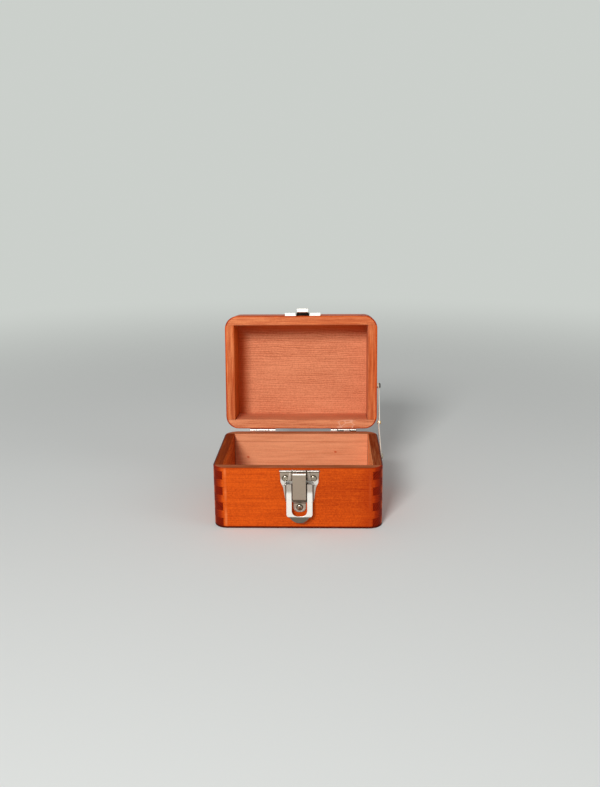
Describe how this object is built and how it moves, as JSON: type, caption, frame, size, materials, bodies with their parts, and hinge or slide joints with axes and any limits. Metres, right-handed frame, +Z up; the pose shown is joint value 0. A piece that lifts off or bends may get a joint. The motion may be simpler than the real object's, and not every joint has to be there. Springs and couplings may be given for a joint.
{
  "type": "hinged-lid wooden box",
  "caption": "Small stained wooden box with finger-jointed rounded corners, a hinged lid held open by a folding stay, and a lever latch with a hooked keeper.",
  "frame": {"origin": "centre of the box's underside", "axes": "+X to the right when facing the latch, +Y to the rear where the hinges are, +Z up"},
  "size_m": [0.1541, 0.178, 0.1783],
  "materials": {
    "stained_wood": "orange-brown stain under satin varnish, dark end grain",
    "bright_nickel": "nickel-plated pressed steel, lightly worn",
    "plated_hinge": "nickel-plated pressed steel, slightly dull",
    "plated_screw": "nickel-plated pan-head screws"
  },
  "bodies": {
    "base": {"base_front_board": "stained_wood", "base_rear_board": "stained_wood", "base_left_board": "stained_wood", "base_right_board": "stained_wood", "base_bottom_panel": "stained_wood", "left_hinge_base_leaf": "plated_hinge", "left_hinge_pin": "plated_hinge", "right_hinge_base_leaf": "plated_hinge", "right_hinge_pin": "plated_hinge", "hinge_base_screws": "plated_screw", "latch_plate": "bright_nickel", "lever_pin": "bright_nickel", "latch_screws": "plated_screw", "stay_base_washer": "bright_nickel", "stay_base_screw": "plated_screw"},
    "lid": {"lid_front_board": "stained_wood", "lid_rear_board": "stained_wood", "lid_left_board": "stained_wood", "lid_right_board": "stained_wood", "lid_top_panel": "stained_wood", "left_hinge_lid_leaf": "plated_hinge", "right_hinge_lid_leaf": "plated_hinge", "hinge_lid_screws": "plated_screw", "keeper_plate": "bright_nickel", "keeper_screws": "plated_screw", "stay_lid_washer": "bright_nickel", "stay_lid_screw": "plated_screw"},
    "lever": {"latch_lever": "bright_nickel", "tongue_pin": "bright_nickel"},
    "tongue": {"draw_tongue": "bright_nickel"},
    "stay_lower": {"stay_lower_link": "bright_nickel", "stay_rivet_tail": "bright_nickel"},
    "stay_upper": {"stay_upper_link": "bright_nickel", "stay_rivet_head": "bright_nickel"}
  },
  "joints": [
    {"name": "lid_hinge", "type": "hinge", "parent": "base", "child": "lid", "pos_m": [0, 0.0575, 0.05727], "axis": [1, 0, 0], "range_deg": [0, 96.5]},
    {"name": "lever_hinge", "type": "hinge", "parent": "base", "child": "lever", "pos_m": [0.0018, -0.0596, 0.04208], "axis": [-1, 0, 0], "range_deg": [0, 130]},
    {"name": "tongue_hinge", "type": "hinge", "parent": "lever", "child": "tongue", "pos_m": [0.0018, -0.0616, 0.0295], "axis": [-1, 0, 0], "range_deg": [-130, 0]},
    {"name": "stay_lower_hinge", "type": "hinge", "parent": "base", "child": "stay_lower", "pos_m": [0.0756, 0.0004, 0.04897], "axis": [1, 0, 0], "range_deg": [-10.88, 0]},
    {"name": "stay_upper_hinge", "type": "hinge", "parent": "lid", "child": "stay_upper", "pos_m": [0.07665, 0.07312, 0.09897], "axis": [1, 0, 0], "range_deg": [0, 15.03]}
  ],
  "couplings": [
    {"joint": "tongue_hinge", "follows": "lever_hinge", "ratio": -1},
    {"joint": "stay_lower_hinge", "follows": "lid_hinge", "ratio": -0.11261},
    {"joint": "stay_upper_hinge", "follows": "lid_hinge", "ratio": 0.15556}
  ]
}
